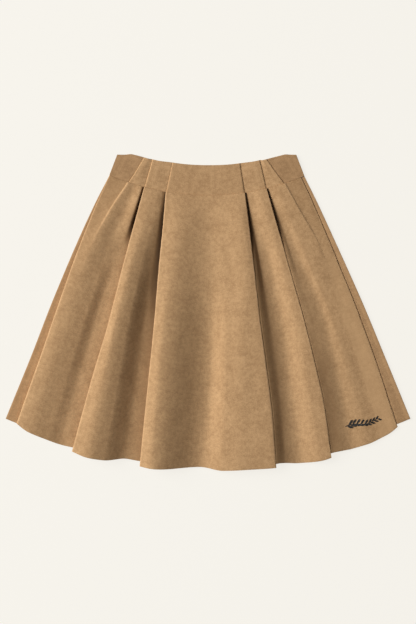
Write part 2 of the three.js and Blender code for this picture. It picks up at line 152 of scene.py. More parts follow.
class Shade:
    """Wraps a shader socket, so that an expression on values adds its Math nodes."""

    def __init__(self, finish: "NodeBook", socket: bpy.types.NodeSocket) -> None:
        """Keeps the socket and the book that adds nodes."""
        self.finish = finish
        self.socket = socket

    def _math(self, operation: str, first: object, second: object = None) -> "Shade":
        """Adds one Math node and gives its result."""
        values = {0: first} if second is None else {0: first, 1: second}
        return self.finish.add("ShaderNodeMath", {"operation": operation}, values)[0]

    def __add__(self, other: object) -> "Shade":
        """self + other."""
        return self._math("ADD", self, other)

    __radd__ = __add__

    def __sub__(self, other: object) -> "Shade":
        """self - other."""
        return self._math("SUBTRACT", self, other)

    def __rsub__(self, other: object) -> "Shade":
        """other - self."""
        return self._math("SUBTRACT", other, self)

    def __mul__(self, other: object) -> "Shade":
        """self * other."""
        return self._math("MULTIPLY", self, other)

    __rmul__ = __mul__

    def clamped(self) -> "Shade":
        """The value kept between 0 and 1."""
        return self._math("MINIMUM", self._math("MAXIMUM", self, 0.0), 1.0)


class NodeResult:
    """The output sockets of a node, by name or number."""

    def __init__(self, book: "NodeBook", node: bpy.types.Node) -> None:
        """Keeps the node."""
        self.book = book
        self.node = node

    def __getitem__(self, key: Union[str, int]) -> Shade:
        """One output, wrapped."""
        return Shade(self.book, self.node.outputs[key])


class NodeBook:
    """Adds the nodes of one material."""

    def __init__(self, name: str) -> None:
        """Starts an empty material with its output node."""
        self.material = bpy.data.materials.new(name)
        self.material.use_nodes = True
        self.tree = self.material.node_tree
        self.tree.nodes.clear()

    def add(self, kind: str, settings: Optional[dict] = None, inputs: Optional[dict] = None) -> NodeResult:
        """Adds one node.

        Args:
            kind: the node's type name.
            settings: its properties.
            inputs: values or links for its sockets, by name or number.

        Returns:
            The node's outputs.
        """
        node = self.tree.nodes.new(kind)
        for key, value in (settings or {}).items():
            setattr(node, key, value)
        for key, value in (inputs or {}).items():
            if isinstance(value, Shade):
                self.tree.links.new(value.socket, node.inputs[key])
            else:
                node.inputs[key].default_value = value
        return NodeResult(self, node)

    def mix(self, factor: object, first: object, second: object) -> Shade:
        """Mixes two colours."""
        settings = {"data_type": "RGBA", "clamp_factor": True}
        return self.add("ShaderNodeMix", settings, {0: factor, 6: first, 7: second})[2]


def linear(red: int, green: int, blue: int) -> tuple[float, float, float, float]:
    """A colour in the shader's linear light, from its usual 0 to 255 values."""

    def one(value: int) -> float:
        share = value / 255
        return share / 12.92 if share <= 0.04045 else ((share + 0.055) / 1.055) ** 2.4

    return (one(red), one(green), one(blue), 1.0)


# --------------------------------------------------------------------------------------------
# Finishes
# --------------------------------------------------------------------------------------------


@dataclass(frozen=True)
class Suede:
    """Brushed faux suede: a short nap that lies in patches, over a fine felted grain, with a painted
    highlight along folds and edges and painted shade in the pleat mouths and beside the front.

    The cloth's UV map runs in metres along and across the piece.
    """

    name: str
    slot: str
    lit: tuple[int, int, int] = (203, 164, 120)
    brushed: tuple[int, int, int] = (166, 129, 90)
    # painted highlight colour along folds, tucks and lapped edges
    highlight_colour: tuple[int, int, int] = (208, 170, 128)
    # a darker nap, also used for painted shade in the pleat mouths and on the back beside the front
    pressed: tuple[int, int, int] = (140, 107, 73)
    # painted shadow colour far inside the pleat mouths
    pleat_shadow: tuple[int, int, int] = (58, 40, 26)
    grain_depth: float = 0.00022

    def build(self) -> bpy.types.Material:
        """Makes the material.

        Returns:
            The finished material.
        """
        book = NodeBook(self.name)
        uv = book.add("ShaderNodeTexCoord")["UV"]

        def cloud(scale: float, detail: float, roughness: float, distortion: float = 0.0) -> Shade:
            inputs = {"Vector": uv, "Scale": scale, "Detail": detail}
            inputs |= {"Roughness": roughness, "Distortion": distortion}
            return book.add("ShaderNodeTexNoise", {}, inputs)["Fac"]

        patches = cloud(38.0, 3.0, 0.6, 0.4)
        blotches = cloud(150.0, 3.0, 0.65)
        grain = cloud(620.0, 2.0, 0.7)
        fibres = cloud(2100.0, 2.0, 0.6)
        nap_and_shade = book.add("ShaderNodeAttribute", {"attribute_name": "nap"})["Fac"]
        mottle = (patches - 0.5) * 1.2 + (blotches - 0.5) * 1.9 + (grain - 0.5) * 2.6
        nap = (0.5 + mottle).clamped()
        colour = book.mix(nap, linear(*self.brushed), linear(*self.lit))
        flecks = ((fibres - 0.5) * 1.6 + 0.5).clamped()
        colour = book.mix(flecks * 0.22, colour, linear(216, 178, 136))
        # painted highlight along folds, tucks and lapped edges, read from the vertices
        rub = book.add("ShaderNodeAttribute", {"attribute_name": "rub"})["Fac"]
        colour = book.mix((rub * (0.1 + grain * 0.6)).clamped(), colour, linear(*self.highlight_colour))
        colour = book.mix(nap_and_shade.clamped(), colour, linear(*self.lit))
        # where the nap value is below zero the colour darkens: painted shade in the pleat mouths and on the
        # back beside the front, and a darker nap beyond the hip tuck and on the centre band
        colour = book.mix((nap_and_shade * -1.0).clamped() * 0.8, colour, linear(*self.pressed))
        # painted shadow far inside the pleat mouths, where the nap value falls below -0.6
        depth = (((nap_and_shade + 0.6) * -0.7).clamped() * (0.8 + grain * 0.4)).clamped()
        colour = book.mix(depth, colour, linear(*self.pleat_shadow))
        roughness = (0.86 + (grain - 0.5) * 0.14).clamped()
        relief = grain * 0.6 + fibres * 0.4 + blotches * 0.5
        lumps = {"Strength": 0.55, "Distance": self.grain_depth, "Height": relief}
        bump = book.add("ShaderNodeBump", {}, lumps)
        surface = book.add(
            "ShaderNodeBsdfPrincipled",
            {},
            {
                "Base Color": colour,
                "Roughness": roughness,
                "Specular IOR Level": 0.12,
                "Sheen Weight": 0.28,
                "Sheen Roughness": 0.55,
                "Sheen Tint": linear(232, 200, 164),
                "Normal": bump["Normal"],
            },
        )
        book.add("ShaderNodeOutputMaterial", {}, {"Surface": surface["BSDF"]})
        return book.material


@dataclass(frozen=True)
class EmbroideryThread:
    """Dark rayon thread laid in close satin stitches across the shape."""

    name: str = "embroidery_thread"
    slot: str = "thread"

    def build(self) -> bpy.types.Material:
        """Makes the material."""
        book = NodeBook(self.name)
        place = book.add("ShaderNodeTexCoord")["Object"]
        turned = book.add("ShaderNodeMapping", {}, {"Vector": place, "Rotation": (0.0, 0.0, 0.5)})["Vector"]
        settings = {"wave_type": "BANDS", "bands_direction": "X"}
        inputs = {"Vector": turned, "Scale": 520.0, "Distortion": 1.2, "Detail": 1.0, "Detail Scale": 3.0}
        strands = book.add("ShaderNodeTexWave", settings, inputs)["Fac"]
        colour = book.mix(strands, linear(14, 11, 10), linear(44, 36, 31))
        roughness = 0.55 - strands * 0.18
        bump = book.add("ShaderNodeBump", {}, {"Strength": 0.6, "Distance": 0.0002, "Height": strands})
        surface = book.add(
            "ShaderNodeBsdfPrincipled",
            {},
            {"Base Color": colour, "Roughness": roughness, "Sheen Weight": 0.1, "Normal": bump["Normal"]},
        )
        book.add("ShaderNodeOutputMaterial", {}, {"Surface": surface["BSDF"]})
        return book.material


@dataclass(frozen=True)
class PaleFloor:
    """A plain off-white studio surface."""

    name: str = "pale_floor"

    def build(self) -> bpy.types.Material:
        """Makes the material."""
        book = NodeBook(self.name)
        surface = book.add(
            "ShaderNodeBsdfPrincipled",
            {},
            {
                "Base Color": linear(92, 91, 88),
                "Roughness": 0.9,
                "Specular IOR Level": 0.0,
                "Emission Color": linear(235, 232, 225),
                "Emission Strength": 1.0,
            },
        )
        book.add("ShaderNodeOutputMaterial", {}, {"Surface": surface["BSDF"]})
        return book.material


SUEDE = Suede("suede", "suede")
HIP_SUEDE = Suede("hip_suede", "hip_suede", lit=(182, 144, 104), brushed=(150, 116, 81))
BACK_SUEDE = Suede("back_suede", "back_suede", lit=(188, 150, 108), brushed=(158, 122, 86))


# --------------------------------------------------------------------------------------------
# Cloth
# --------------------------------------------------------------------------------------------


@dataclass
class Section:
    """One line of cloth across a piece, as columns with one value for each of many points.

    Across, height and radius are in millimetres. Highlight is how strong the painted highlight is, nap how
    it lies (minus is darker; it also carries painted shade) and wall the share of the full thickness.
    """

    across: np.ndarray
    height: np.ndarray
    radius: np.ndarray
    rub: Optional[np.ndarray] = None
    nap: Optional[np.ndarray] = None
    wall: Optional[np.ndarray] = None

    def __post_init__(self) -> None:
        """Fills the columns that were left out."""
        self.rub = np.zeros(len(self.across)) if self.rub is None else self.rub
        self.nap = np.zeros(len(self.across)) if self.nap is None else self.nap
        self.wall = np.ones(len(self.across)) if self.wall is None else self.wall

    def columns(self) -> tuple[np.ndarray, ...]:
        """Every column, in order."""
        return self.across, self.height, self.radius, self.rub, self.nap, self.wall

    def reversed(self) -> "Section":
        """The same line, from the other end."""
        return Section(*(column[::-1] for column in self.columns()))

    def length(self) -> np.ndarray:
        """The distance along the cloth to each point."""
        steps = np.hypot(np.diff(self.across), np.diff(self.height))
        return np.concatenate([[0.0], np.cumsum(steps)])

    def resampled(self, count: int) -> "Section":
        """The same line with its points evenly spaced along the cloth."""
        along = self.length()
        even = np.linspace(0.0, along[-1], count)
        return Section(*(np.interp(even, along, column) for column in self.columns()))


@dataclass
class ClothPiece:
    """A wall of cloth laid over sections, with its finish."""

    node: str
    finish: Suede
    across_steps: int
    down_steps: int
    nap: float = field(default=0.0, kw_only=True)

    def section(self, t: float) -> Section:
        """The cloth's line across the piece at a share t of the way down it."""
        raise NotImplementedError

    def rests_on(self) -> list[str]:
        """What the piece lies on."""
        return ["back_skirt_left", "back_skirt_right"]

    def ripple(self, point: Vector, t: float) -> float:
        """Small uneven rises of the cloth at a point, in millimetres."""
        place = point / MM
        broad = noise.noise(Vector((place.x / 46, place.y / 90, 3.1)))
        fine = noise.noise(Vector((place.x / 15, place.y / 24, 7.7)))
        return broad * 0.5 + fine * 0.16

    def build(self) -> bpy.types.Object:
        """Returns:
            The piece's object.
        """
        shares = [k / self.down_steps for k in range(self.down_steps + 1)]
        sections = [self.section(share).resampled(self.across_steps + 1) for share in shares]
        bm = bmesh.new()
        bmesh.ops.create_grid(bm, x_segments=self.across_steps, y_segments=self.down_steps, size=0.5)
        uv = bm.loops.layers.uv.new("cloth")
        lengths = [section.length() for section in sections]
        # per-vertex painted highlight, and the nap value that also carries painted shade
        rub = bm.verts.layers.float.new("rub")
        nap = bm.verts.layers.float.new("nap")
        weights = bm.verts.layers.deform.new()
        cloth_place = {}
        for vert in bm.verts:
            i = round((vert.co.x + 0.5) * self.across_steps)
            k = round((vert.co.y + 0.5) * self.down_steps)
            section = sections[k]
            radius = float(section.radius[i])
            point = FLARE.place(radius, float(section.across[i]) / radius, float(section.height[i]))
            point.z += self.ripple(point, shares[k]) * MM * self.looseness(shares[k])
            cloth_place[vert] = ((lengths[k][i] - lengths[k][-1] / 2) * MM, radius * MM)
            vert[rub] = float(section.rub[i])
            vert[nap] = self.nap + float(section.nap[i])
            vert[weights][0] = float(section.wall[i])
            vert.co = point
        for face in bm.faces:
            for loop in face.loops:
                loop[uv].uv = cloth_place[loop.vert]
        if sum(face.normal.z for face in self.refreshed(bm)) < 0:
            bmesh.ops.reverse_faces(bm, faces=bm.faces[:])
        for face in bm.faces:
            face.smooth = True
        mesh = bpy.data.meshes.new(self.node + "_cloth")
        bm.to_mesh(mesh)
        bm.free()
        piece = bpy.data.objects.new(self.node + "_cloth", mesh)
        bpy.context.scene.collection.objects.link(piece)
        self.thicken(piece)
        self.declare(piece)
        return piece

    def looseness(self, t: float) -> float:
        """How free the cloth is to ripple, from 0 where it is sewn down."""
        return min(1.0, t * 6)

    @staticmethod
    def refreshed(bm: bmesh.types.BMesh) -> list:
        """The mesh's faces with their normals worked out."""
        bm.normal_update()
        return list(bm.faces)

    @staticmethod
    def thicken(piece: bpy.types.Object) -> None:
        """Gives the sheet its thickness and softens its cut edges."""
        piece.vertex_groups.new(name="thickness")
        wall = piece.modifiers.new("wall", "SOLIDIFY")
        wall.vertex_group = "thickness"
        wall.thickness = CLOTH * MM
        wall.offset = 0.0
        edge = piece.modifiers.new("edge", "BEVEL")
        edge.width = 0.35 * MM
        edge.segments = 2
        edge.limit_method = "ANGLE"
        edge.angle_limit = math.radians(60)

    def declare(self, piece: bpy.types.Object) -> None:
        """Gives the piece its finish, sets it on the body and hides the model's part that it stands for."""
        piece.data.materials.append(MATERIALS[self.finish.name])
        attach(piece, BODY)
        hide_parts(self.node)


# The points that a line of cloth is worked out at, before they are evened out.
PANEL_POINTS = 700
BACK_POINTS = 400
BAND_POINTS = 300

# Stations down the skirt, as a share of the way from the yoke seam to the hem: yoke seam, pleat
# mouth, upper, middle, lower, hem. Every row of six has one value for each.
STATIONS = (0, 0.12, 0.25, 0.5, 0.75, 1)
PLEAT_DEPTH = (12, 15, 20, 28, 34, 38)
ROLL_RADIUS = (0.85, 1, 1.2, 1.3, 1.4, 1.4)
SHARP_ROLL = (0.85, 0.8, 0.6, 0.6, 0.6, 0.6)
SIDE_ROLL = (0.85, 1, 1.2, 1.3, 1.4, 1.4)
TIGHTEST_ROLL = 2.4  # a fold stands at least this many rolls above the layer below
FOOT_CLEARANCE = 1.2  # from a pleat's fold to where the panel below comes out
SIDE_TURN = 9.0
PRESSED_WALL = 0.5
PRESSED_STEP = 1.25
EDGE_SHADE = 0.3  # how dark the painted shade on the back is beside the front, and how far that reaches
EDGE_SHADE_WIDTH = 15.0
CURL_WIDTH = 7.0  # how much of the back's side edge curls up off the table
# How far the painted shade in a pleat's mouth reaches on each side, how flat it is, and how soon it widens.
MOUTH_SHADE_SHAPES = {Side.LEFT: (17.0, 2), Side.RIGHT: (24.0, 4)}
MOUTH_SHADE_SPREAD = 42.0
LIP_WIDTH = 3.6  # from there to where it has fallen away
HIGHLIGHT_WIDTH = 1.7  # how far the painted highlight reaches to each side of a fold
RIGHT_HIGHLIGHT = 1.7  # how much stronger the painted highlight is on folds that face right, away from the light
USUAL_HEM = 958.0  # a first guess at a panel's hem, before its own is looked up
RISE_START, RISE_LENGTH = 0.3, 1.6  # where the back rises beside the front, and how soon
TUCK_END = 0.26  # the share of the way down where the hip tucks have faded out


@dataclass(frozen=True)
class Line:
    """A line down a panel: where it meets the hem, and its angle and height at each station."""

    name: str
    hem: float
    angle: Row
    height: Row

    def at(self, t: float) -> tuple[float, float]:
        """The line's angle in degrees and its height at a share of the way down."""
        return float(SmoothCurve(STATIONS, self.angle)(t)), float(SmoothCurve(STATIONS, self.height)(t))


@dataclass(frozen=True)
class Fold:
    """An edge that rolls under itself and runs back: which way, how wide, how deep."""

    turn: int
    roll: Row
    depth: Row
    level: float
    wall: float = 1.0


def pleat(turn: int) -> Fold:
    """The fold of a knife pleat, lying on the panel below. The right ones are pressed sharp."""
    level = UNDER_LEVEL + LAP_STEP
    if turn > 0:
        return Fold(turn, SHARP_ROLL, PLEAT_DEPTH, level, PRESSED_WALL)
    return Fold(turn, ROLL_RADIUS, PLEAT_DEPTH, level)


def side_turn(turn: int) -> Fold:
    """The side edge, turned under on to the back and pressed thin."""
    return Fold(turn, SIDE_ROLL, (SIDE_TURN,) * len(STATIONS), BACK_LEVEL + PRESSED_STEP, PRESSED_WALL)


def underlap(fold: Line, height: Row, hem: float, lip: Row = ()) -> list[Line]:
    """The rows of a lower panel that lie under the fold of the panel above.

    Args:
        fold: the line of the fold above.
        height: the lower panel's height where it comes out.
        hem: where its hem comes out.
        lip: its height a little further out, where it falls away at once.

    Returns:
        The inner edge, the pleat's mouth and the foot.
    """
    turn = math.copysign(1, fold.angle[0])

    def shifted(distances: Row) -> Row:
        radii = [YOKE_SEAM_RADIUS + t * (fold.hem - YOKE_SEAM_RADIUS) for t in STATIONS]
        return [a + math.degrees(turn * d / r) for a, d, r in zip(fold.angle, distances, radii)]

    low = (UNDER_LEVEL,) * len(STATIONS)
    mouth = [-(1.4 * roll + FOOT_CLEARANCE) for roll in ROLL_RADIUS]
    rows = [
        Line("inner edge", hem - 3, shifted([-depth for depth in PLEAT_DEPTH]), low),
        Line("mouth", hem - 1, shifted(mouth), low),
        Line("foot", hem, shifted([FOOT_CLEARANCE] * len(STATIONS)), height),
    ]
    if lip:
        rows.append(Line("lip", hem, shifted([FOOT_CLEARANCE + LIP_WIDTH] * len(STATIONS)), lip))
    return rows


@dataclass
class FrontPanel(ClothPiece):
    """A front gore laid over its lines, with its folded edges."""

    lines: list[Line] = field(default_factory=list)
    folds: list[Fold] = field(default_factory=list)
    # how dark the painted shade in the pleat's mouth is, at each station
    mouth: Row = (0,) * 6
    hip: Row = (0,) * 6

    def shape(self, t: float) -> tuple[np.ndarray, SmoothCurve, SmoothCurve]:
        """The angles of the lines at a share of the way down, and the heights and hems over them."""
        rows = [line.at(t) for line in self.lines]
        angles = np.array([angle for angle, _ in rows])
        heights = SmoothCurve(angles, [height for _, height in rows])
        return angles, heights, SmoothCurve(angles, [line.hem for line in self.lines])

    def height_at(self, radius: float, angle: float) -> float:
        """The height of the cloth's middle at a radius, and an angle in radians."""
        t = (radius - YOKE_SEAM_RADIUS) / (USUAL_HEM - YOKE_SEAM_RADIUS)
        for _ in range(3):
            hem = float(self.shape(t)[2](math.degrees(angle)))
            t = (radius - YOKE_SEAM_RADIUS) / (hem - YOKE_SEAM_RADIUS)
        height = float(self.shape(t)[1](math.degrees(angle)))
        ripple = self.ripple(FLARE.place(radius, angle, height), t) * self.looseness(t)
        return height + ripple

    def section(self, t: float) -> Section:
        """The panel's line at a share of the way down, folds included."""
        angles, heights, hems = self.shape(t)
        fine = np.linspace(angles[0], angles[-1], PANEL_POINTS)
        radius = YOKE_SEAM_RADIUS + SEAM_GAP / 2 + t * (hems(fine) - YOKE_SEAM_RADIUS)
        section = Section(np.radians(fine) * radius, heights(fine), radius)
        for fold in self.folds:
            edge = angles[0 if fold.turn < 0 else -1]
            away = np.clip(np.abs(fine - edge) * np.radians(1) * radius / SIDE_TURN, 0, 1)
            section.wall = section.wall - (1 - eased(away)) * (1 - fold.wall)
        section.nap = self.nap_over(fine, radius, t)
        section.rub = self.tuck_highlight(fine, radius, t)
        for fold in self.folds:
            section = self.folded(section, fold, t)
        return section

    def nap_over(self, angles: np.ndarray, radius: np.ndarray, t: float) -> np.ndarray:
        """Painted shade in the pleat's mouth, and the nap's tone shifted beyond the hip tuck."""
        nap = np.zeros(len(angles))
        mouth = float(SmoothCurve(STATIONS, self.mouth)(t))
        hip = float(SmoothCurve(STATIONS, self.hip)(t))
        for line in self.lines:
            at = line.at(t)[0]
            outward = np.radians((angles - at) * math.copysign(1, at)) * radius
            if line.name == "foot":
                width, flatness = MOUTH_SHADE_SHAPES[Side.LEFT if at < 0 else Side.RIGHT]
                reach = min(width, 1.8 + MOUTH_SHADE_SPREAD * t)
                # painted shade in the pleat's mouth, beside the fold above
                nap -= 2 * mouth * np.exp(-((np.maximum(outward, 0) / reach) ** flatness))
            elif line.name == "tuck top":
                nap -= hip * np.clip(outward / 3, 0, 1)
        return nap

    def tuck_highlight(self, angles: np.ndarray, radius: np.ndarray, t: float) -> np.ndarray:
        """How strong the painted highlight is along a stitched tuck, which fades out down the skirt."""
        for line in self.lines:
            if line.name == "tuck top":
                away = np.radians(angles - line.at(t)[0]) * radius
                return bell(away, HIGHLIGHT_WIDTH) * max(0.0, 1 - t / TUCK_END)
        return np.zeros(len(angles))

    @staticmethod
    def folded(section: Section, fold: Fold, t: float) -> Section:
        """The section with one end rolled under."""
        if fold.turn * (section.across[-1] - section.across[0]) < 0:
            section = section.reversed()
        across, height = section.across, section.height
        roll = float(SmoothCurve(STATIONS, fold.roll)(t))
        depth = float(SmoothCurve(STATIONS, fold.depth)(t))
        roll = min(roll, (height[-1] - fold.level) / TIGHTEST_ROLL)
        end, top = across[-1], height[-1]
        keep = fold.turn * (end - across) > roll
        turns = np.linspace(0, math.pi, 14)
        back = np.linspace(0, 1, 12)[1:]
        rolled = (end - fold.turn * roll * (1 - np.sin(turns)), top - roll + roll * np.cos(turns))
        inward = end - fold.turn * (roll + (depth - 1 - roll) * back)
        return_height = (top - 2 * roll) + (fold.level - top + 2 * roll) * eased(back)
        extra = len(turns) + len(back)
        added = [np.concatenate([rolled[0], inward]), np.concatenate([rolled[1], return_height])]
        added += [np.full(extra, column[-1]) for column in section.columns()[2:]]
        folded = Section(*(np.concatenate([old[keep], new]) for old, new in zip(section.columns(), added)))
        along = folded.length()
        outermost = along[int(keep.sum()) + len(turns) // 3]
        # painted highlight along the fold's outermost edge, stronger on folds that face right, away from the
        # light
        highlight_gain = RIGHT_HIGHLIGHT if fold.turn > 0 else 1.0
        folded.rub = np.maximum(folded.rub, highlight_gain * bell(along - outermost, HIGHLIGHT_WIDTH))
        return folded


CENTRE_LINES = [
    Line("left fold", 959.5, (-9.75, -9.15, -8.75, -8.05, -7.72, -7.45), (6.5, 10, 14, 20, 22, 22)),
    Line("left crest", 961, (-7.5, -6.2, -6.4, -6.5, -6.3, -6.1), (6.5, 13, 17, 25, 28.5, 28.5)),
    Line("valley", 955, (0.3, 0.3, 0.4, 0.4, 0, -0.85), (4.6, 6.4, 7.6, 5, 3.8, 3.6)),
    Line("right shoulder", 961, (4, 3.6, 3.5, 2.9, 2.3, 1.7), (5.6, 9, 11, 13.5, 15, 15)),
    Line("right crest", 961, (7.2, 7.2, 7, 5.6, 4.6, 3.8), (6.5, 12.5, 15.5, 18, 18.5, 18.5)),
    Line("right fold", 963, (8.57, 8.38, 8.2, 7.9, 7.85, 7.44), (6.5, 11.5, 14.5, 17.5, 18.5, 18.5)),
]
INNER_LEFT_LINES = [
    Line("slope", 951.5, (-10.7, -10.3, -9.9, -9.5, -9.2, -9), (4.6, 7, 5.5, 5.5, 5.5, 5.2)),
    Line("shoulder", 959.5, (-11.8, -11.6, -12, -12, -11.7, -11.5), (6, 10.2, 14.6, 22.5, 23.6, 22.8)),
    Line("crest", 960.5, (-13.4, -13.2, -13.6, -13.7, -13.4, -13.2), (6.5, 11.8, 17.5, 26.8, 28.5, 28.5)),
    Line("fold", 957, (-14.86, -14.87, -14.89, -14.75, -15, -15.03), (6.5, 10.5, 15, 22, 22.5, 22.5)),
]
OUTER_LEFT_LINES = [
    Line("slope", 953, (-15.5, -15.7, -16.3, -16.7, -16.6, -16.5), (6, 8, 4.6, 4.6, 4.8, 5)),
    Line("trough", 951, (-17.2, -17.6, -18.2, -18.4, -18.3, -18.2), (4.8, 5.6, 7.6, 11.8, 12, 11.8)),
    Line("tuck top", 948, (-18.75, -20.4, -21.2, -21.4, -20.8, -20.4), (6.2, 9.2, 13.6, 16.8, 18, 17.5)),
    Line("tuck foot", 946.5, (-18.95, -20.6, -21.5, -21.8, -21.2, -20.8), (4.4, 7.4, 13, 16.7, 17.9, 17.4)),
    Line("side fold", 941.5, (-23.4, -23.5, -23.32, -22.71, -22.16, -21.83), (3.3, 4.4, 9.5, 15, 16.2, 15.8)),
]
INNER_RIGHT_LINES = [
    Line("fall", 958, (9.2, 9.2, 9.4, 9.5, 9.2, 8.6), (3.6, 4.4, 4.6, 6.4, 7, 7)),
    Line("valley", 962.5, (10.4, 10.2, 10.8, 11, 10.5, 10), (4.6, 6, 3.8, 3.3, 3.2, 3.2)),
    Line("crest", 965.5, (12, 12.8, 13.2, 13.4, 13, 12.6), (6.5, 10, 10, 10.6, 12, 12)),
    Line("fold", 964, (13.69, 13.92, 14.17, 14.45, 14.35, 13.6), (6.5, 10, 10.4, 11.6, 12.6, 12.4)),
]
OUTER_RIGHT_LINES = [
    Line("fall", 957, (14.3, 14.7, 15.2, 15.9, 15.6, 14.8), (3.4, 4.4, 5.8, 6.6, 7.2, 7.2)),
    Line("hollow", 959, (15, 15.5, 16.2, 17.5, 17, 16.2), (4.2, 5, 4.7, 3.6, 3.4, 3.4)),
    Line("ridge", 959, (16.4, 17, 17.6, 18.5, 18.3, 17.9), (5.5, 6.6, 6.6, 5, 5, 5)),
    Line("tuck top", 956.5, (18.07, 19.3, 20.4, 20, 19.8, 19.4), (5.6, 6.2, 5.2, 4, 3.6, 3.5)),
    Line("tuck foot", 953.5, (18.27, 19.5, 20.65, 21, 20.9, 20.6), (4.4, 5, 4.5, 3.4, 3.1, 3)),
    Line("side fold", 948, (22.15, 22.45, 22.5, 22.45, 22.1, 21.61), (3, 3, 3, 3, 3, 3)),
]
INNER_FOOT_LEFT = (UNDER_LEVEL, 2.8, 3, 3, 3, 3)
INNER_FOOT_RIGHT = (UNDER_LEVEL, 4, 12, 15.8, 16.8, 16.8)
INNER_LIP_RIGHT = (UNDER_LEVEL + 0.2, 3.9, 10.6, 14.3, 15.2, 15.2)
OUTER_FOOT_LEFT = (UNDER_LEVEL, 2.8, 3.6, 3.6, 3.6, 3.6)
OUTER_FOOT_RIGHT = (UNDER_LEVEL, 4, 8.6, 9.9, 10.9, 10.7)
OUTER_LIP_RIGHT = (UNDER_LEVEL + 0.2, 4, 8, 9.2, 10.1, 9.9)
# How dark the painted shade is in the mouth of each pleat, beside the fold above.
MOUTH_SHADE = {
    "inner_left": (1, 1, 0.9, 0.35, 0.15, 0.15),
    "inner_right": (1, 0.8, 0.42, 0.3, 0.24, 0.24),
    "outer_left": (1, 1, 0.1, 0, 0, 0),
    "outer_right": (1, 0.7, 0.15, 0.08, 0.34, 0.32),
}
HIP_NAP_LEFT = (0.45, 0.4, 0.25, 0.1, 0, 0)
HIP_NAP_RIGHT = (0.3, 0.15, -0.15, -0.45, -0.5, -0.5)


@dataclass
class FrontSkirt:
    """The five gores of the front."""

    across_steps: int = 110
    centre_steps: int = 170
    down_steps: int = 150

    def panels(self) -> list[FrontPanel]:
        """The gores, from the centre front outwards."""
        left = underlap(CENTRE_LINES[0], INNER_FOOT_LEFT, 952.5) + INNER_LEFT_LINES
        right = underlap(CENTRE_LINES[-1], INNER_FOOT_RIGHT, 956, INNER_LIP_RIGHT) + INNER_RIGHT_LINES
        far_left = underlap(INNER_LEFT_LINES[-1], OUTER_FOOT_LEFT, 952) + OUTER_LEFT_LINES
        far_right = underlap(INNER_RIGHT_LINES[-1], OUTER_FOOT_RIGHT, 956, OUTER_LIP_RIGHT)
        far_right += OUTER_RIGHT_LINES
        centre_size = (SUEDE, self.centre_steps, self.down_steps)
        size = (SUEDE, self.across_steps, self.down_steps)
        side_left = ([side_turn(-1)], MOUTH_SHADE["outer_left"], HIP_NAP_LEFT)
        side_right = ([side_turn(1)], MOUTH_SHADE["outer_right"], HIP_NAP_RIGHT)
        return [
            FrontPanel("front_centre_panel", *centre_size, CENTRE_LINES, [pleat(1), pleat(-1)]),
            FrontPanel("front_inner_panel_left", *size, left, [pleat(-1)], MOUTH_SHADE["inner_left"]),
            FrontPanel("front_inner_panel_right", *size, right, [pleat(1)], MOUTH_SHADE["inner_right"]),
            FrontPanel("front_outer_panel_left", *size, far_left, *side_left),
            FrontPanel("front_outer_panel_right", *size, far_right, *side_right),
        ]

    def build(self) -> None:
        """Makes every gore."""
        for panel in self.panels():
            panel.build()


SKIVE = 1.5  # how far in from a lapped edge the suede is thinned
SKIVED_WALL = 0.35
# painted highlight along a skived lapped edge of the band
SKIVED_HIGHLIGHT = 0.2
SKIVE_DROP = 0.85
BUTTED_RISE = 0.6  # how far the lower piece rises to meet the skived edge
TOP_LEVEL = UNDER_LEVEL + LAP_STEP
HIP_LEVEL = UNDER_LEVEL + 0.6
BAND_LAP = 8.0
LOW_UNTIL, RISEN_AT = -0.5, 0.9  # where a lower piece starts and ends its rise, along the band
FLAT_EDGE = 9.0


@dataclass(frozen=True)
class BandLine:
    """A line across the waistband: its angle at the waist and the seam, and the waist's radius."""

    waist: float
    seam: float
    radius: float
    level: float = UNDER_LEVEL

    def moved(self, distance: float) -> "BandLine":
        """The line moved along the band, towards the centre front if the distance is negative."""
        shift = math.degrees(math.copysign(1, self.seam) * distance / YOKE_SEAM_RADIUS)
        return BandLine(self.waist + shift, self.seam + shift, self.radius, self.level)

    def on(self, level: float) -> "BandLine":
        """The same line at another height."""
        return BandLine(self.waist, self.seam, self.radius, level)


@dataclass
class BandPiece(ClothPiece):
    """A piece of the waistband between its lines."""

    lines: list[BandLine] = field(default_factory=list)

    def looseness(self, t: float) -> float:
        """The band is sewn flat, so it ripples little."""
        return 0.35

    def section(self, t: float) -> Section:
        """The band's line at a share of the way from the waist to the seam, its top edges skived."""
        waist = np.array([line.waist for line in self.lines])
        seam = np.array([line.seam for line in self.lines])
        angles = waist + (seam - waist) * t
        edge = SmoothCurve(waist, [line.radius for line in self.lines])
        fine = np.linspace(0, 1, BAND_POINTS)
        knots = np.linspace(0, 1, len(self.lines))
        at_waist = np.interp(fine, knots, waist)
        at = np.interp(fine, knots, angles)
        radius = edge(at_waist) + (YOKE_SEAM_RADIUS - SEAM_GAP / 2 - edge(at_waist)) * t
        height = SmoothCurve(knots, [line.level for line in self.lines])(fine)
        across = np.radians(at) * radius
        section = Section(across, height, radius)
        for line, end in ((self.lines[0], across[0]), (self.lines[-1], across[-1])):
            if line.level == TOP_LEVEL:
                away = np.clip(np.abs(across - end) / SKIVE, 0, 1)
                near = 1 - eased(away)
                section.wall = section.wall - near * (1 - SKIVED_WALL)
                section.height = section.height - near * SKIVE_DROP
                # painted highlight along the skived edge
                section.rub = section.rub + bell(across - end, HIGHLIGHT_WIDTH) * SKIVED_HIGHLIGHT
        return section


